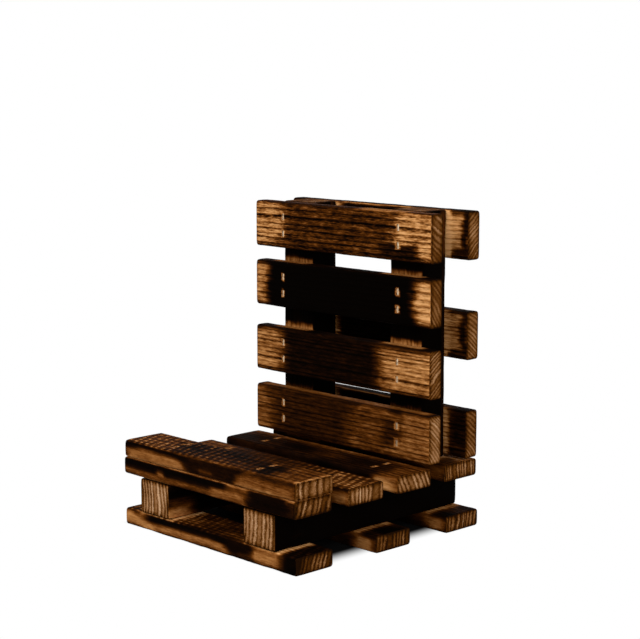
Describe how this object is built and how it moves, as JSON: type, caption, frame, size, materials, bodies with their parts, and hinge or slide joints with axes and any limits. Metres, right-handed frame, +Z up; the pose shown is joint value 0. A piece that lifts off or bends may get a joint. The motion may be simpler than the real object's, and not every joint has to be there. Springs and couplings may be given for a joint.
{
  "type": "phone stand",
  "caption": "Wooden phone charging stand built like two small pallets: a slatted base with a front lip and an upright slatted back rest, nailed to stringers.",
  "frame": {"origin": "on the floor, below the middle of the whole stand's bounding box", "axes": "+X along the slats to the right, +Y from the front lip to the back rest, +Z up"},
  "size_m": [0.101, 0.1012, 0.1275],
  "materials": {
    "charred_slat": "torched softwood, brushed and oiled",
    "charred_stringer": "torched softwood, black sides, pale sawn ends",
    "brad_wire": "coated brad wire, satin",
    "screw_steel": "yellow zinc plated, satin"
  },
  "bodies": {
    "root": {"base_bottom_slat_front": "charred_slat", "base_bottom_slat_middle": "charred_slat", "base_bottom_slat_rear": "charred_slat", "base_stringer_left": "charred_stringer", "base_stringer_right": "charred_stringer", "base_top_slat_1": "charred_slat", "base_top_slat_2": "charred_slat", "base_top_slat_3": "charred_slat", "base_top_slat_4": "charred_slat", "phone_lip_slat": "charred_slat", "back_stringer_left": "charred_stringer", "back_stringer_right": "charred_stringer", "back_front_slat_1": "charred_slat", "back_front_slat_2": "charred_slat", "back_front_slat_3": "charred_slat", "back_front_slat_4": "charred_slat", "back_rear_slat_top": "charred_slat", "back_rear_slat_middle": "charred_slat", "back_rear_slat_bottom": "charred_slat", "base_bottom_brads": "brad_wire", "base_top_brads": "brad_wire", "lip_brads": "brad_wire", "back_front_brads": "brad_wire", "back_rear_brads": "brad_wire", "back_screws": "screw_steel"}
  },
  "joints": []
}
